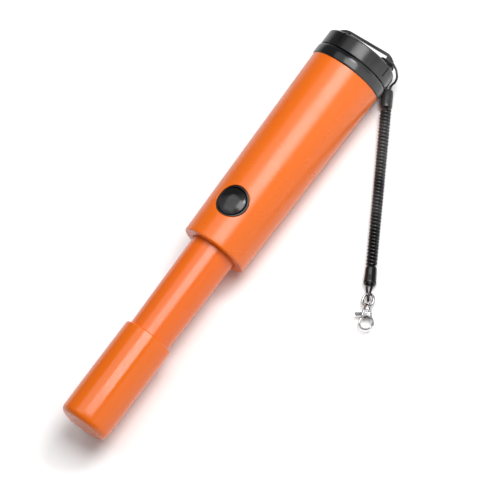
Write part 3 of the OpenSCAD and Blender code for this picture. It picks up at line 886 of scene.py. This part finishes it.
def lever():
    """thumb lever and gate: flat outline with rounded edges, bored for the rivet."""
    g = lambda r, a: (RING_S - PIN_S + r * cos(radians(a)), r * sin(radians(a)))
    line = [(-0.62, -1.2)] + [(-0.62, -2.2 - 0.6 * i) for i in range(5)]
    line += [(0.82 * cos(radians(a)) - 0.0, -5.2 + 0.82 * sin(radians(a))) for a in range(200, 341, 20)]
    line += [(0.62, -4.4 + 0.6 * i) for i in range(5)] + [(0.66, -1.35), (1.15, -0.8), (1.28, -0.3)]
    line += [g(3.05, a) for a in range(150, 60, -8)][0:] + [g(3.05, 61)] + [g(3.42, 63), g(3.75, 70)]
    line += [g(3.9, a) for a in range(78, 151, 8)] + [(0.2, 1.42), (-0.55, 1.28), (-1.15, 0.75), (-1.36, 0.0), (-1.15, -0.75)]
    return line


def plate(line, z0, z1, bev, hole_r):
    """closed flat outline extruded into a solid plate; the bore is a separate ring of points near (0, 0)."""
    cu = bmesh.new()
    vs = [cu.verts.new((a, b, 0)) for a, b in line]
    cu.faces.new(vs)
    hs = [cu.verts.new((hole_r * cos(2 * pi * k / 28), hole_r * sin(2 * pi * k / 28), 0)) for k in range(28)]
    cu.faces.new(hs)
    cu.faces.ensure_lookup_table()
    edges = [e for e in cu.edges]
    bmesh.ops.delete(cu, geom=list(cu.faces), context='FACES_ONLY')
    res = bmesh.ops.triangle_fill(cu, use_beauty=True, use_dissolve=False, edges=edges)
    # drop anything filled inside the bore
    inside = [f for f in cu.faces if f.calc_center_median().length < hole_r * 0.9]
    if inside:
        bmesh.ops.delete(cu, geom=inside, context='FACES_ONLY')
    ext = bmesh.ops.extrude_face_region(cu, geom=list(cu.faces))
    for v in [g for g in ext["geom"] if isinstance(g, bmesh.types.BMVert)]:
        v.co.z = 1.0
    bmesh.ops.recalc_face_normals(cu, faces=list(cu.faces))
    me = bpy.data.meshes.new("t")
    cu.to_mesh(me)
    cu.free()
    V = [C(PIN_S + v.co.x, v.co.y, z0 if v.co.z < 0.5 else z1) for v in me.vertices]
    F = [list(p.vertices) for p in me.polygons]
    bpy.data.meshes.remove(me)
    return V, F


V, F = plate(lever(), -0.68, 0.68, 0.15, 0.63)
lev = mesh_obj("clasp_lever", V, F, M["lever"], sharp=40)
bv = lev.modifiers.new("edge", 'BEVEL')
bv.width = 0.00016
bv.segments = 3
bv.limit_method = 'ANGLE'
bv.angle_limit = radians(55)
bv.harden_normals = False
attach(lev, "trigger")
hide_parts("trigger_lever")

# rivet with a punched centre
pin_prof = fillet([(0.02, -2.14, 0), (0.57, -2.14, 0.08), (0.57, 2.14, 0.08), (0.34, 2.14, 0.05), (0.30, 1.75, 0.05), (0.02, 1.7, 0)])
V, rows = [], []
for r, z in pin_prof:
    rows.append(len(V))
    V += [C(PIN_S + r * cos(2 * pi * k / 40), r * sin(2 * pi * k / 40), z) for k in range(40)]
F = []
for i in range(len(rows)):
    j = (i + 1) % len(rows)
    F += [[rows[i] + k, rows[i] + (k + 1) % 40, rows[j] + (k + 1) % 40, rows[j] + k] for k in range(40)]
pin = mesh_obj("clasp_rivet", V, F, M["steel"], sharp=40)
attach(pin, "clasp")
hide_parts("trigger_pin")

# ---------------------------------------------------------------- floor, world, lights
me = bpy.data.meshes.new("floor")
me.from_pydata([(-3, -3, 0), (3, -3, 0), (3, 3, 0), (-3, 3, 0)], [], [[0, 1, 2, 3]])
floor = bpy.data.objects.new("floor", me)
SC.collection.objects.link(floor)
fm, nt, bs, tc = new_mat("floor_white")
f1 = noise_node(nt, tc, 6.0, 3.0)
nt.links.new(ramp(nt, f1, [(0.3, (0.93, 0.93, 0.93)), (0.7, (0.95, 0.95, 0.95))]), bs.inputs["Base Color"])
bs.inputs["Roughness"].default_value = 0.9
bs.inputs["Specular IOR Level"].default_value = 0.1
me.materials.append(fm)

world = bpy.data.worlds.new("studio")
SC.world = world
world.use_nodes = True
bg = world.node_tree.nodes["Background"]
bg.inputs["Color"].default_value = (1.0, 1.0, 1.0, 1.0)
bg.inputs["Strength"].default_value = 0.2
SC.view_settings.view_transform = 'Standard'
SC.view_settings.look = 'None'
SC.view_settings.exposure = 0.0
SC.view_settings.gamma = 1.0

PX = Vector((1, 0, 0))                                     # along the probe
side = PX.cross(vv - PX * vv.dot(PX)).normalized()         # across it, as seen
if side.dot(Vector((0, -1, 0))) < 0:
    side = -side
perp = (vv - PX * vv.dot(PX)).normalized()


def panel(name, ang, dist, across, along, power, x=-0.01, color=(1, 1, 1), spread=None, lean=0.0):
    """soft panel at an angle from the view direction about the probe's axis; plus is toward the lower right."""
    d = perp * cos(radians(ang)) + side * sin(radians(ang))
    d = d * cos(radians(lean)) + PX * sin(radians(lean))
    ld = bpy.data.lights.new(name, 'AREA')
    ld.shape = 'RECTANGLE'
    ld.size = along
    ld.size_y = across
    ld.energy = power
    ld.color = color
    if spread:
        ld.spread = radians(spread)
    lo = bpy.data.objects.new(name, ld)
    SC.collection.objects.link(lo)
    z = d
    xax = (PX - z * PX.dot(z)).normalized()
    yax = z.cross(xax)
    mt = Matrix((xax, yax, z)).transposed().to_4x4()
    mt.translation = Vector((x, 0, AX * MM)) + d * dist
    lo.matrix_world = mt
    return lo


panel("key_strip", -9, 0.85, 0.56, 0.40, 5.3, lean=14)
panel("edge_light", -8, 0.90, 0.30, 0.12, 2.6, lean=30)
panel("left_wide", -44, 0.95, 0.60, 0.8, 2.55, lean=4)
panel("right_wide", 46, 0.95, 0.70, 0.8, 1.4, lean=4)

# ---------------------------------------------------------------- soft and moving pieces
sp_pts = [(BX + 4.4 * cos(2 * pi * 3 * i / 72), 4.4 * sin(2 * pi * 3 * i / 72), 32.72 + 1.86 * i / 72) for i in range(73)]
V, F = tube_data(sp_pts, 0.28, sides=8)
ob = mesh_obj("return_spring", V, F, M["steel"], sharp=60)
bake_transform(ob)
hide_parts("button_spring")
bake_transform(up_loop)
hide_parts("upper_loop")

print("coil length", path_len(coil_path), "upper loop", path_len(up_path), "lower loop", path_len(low_path))
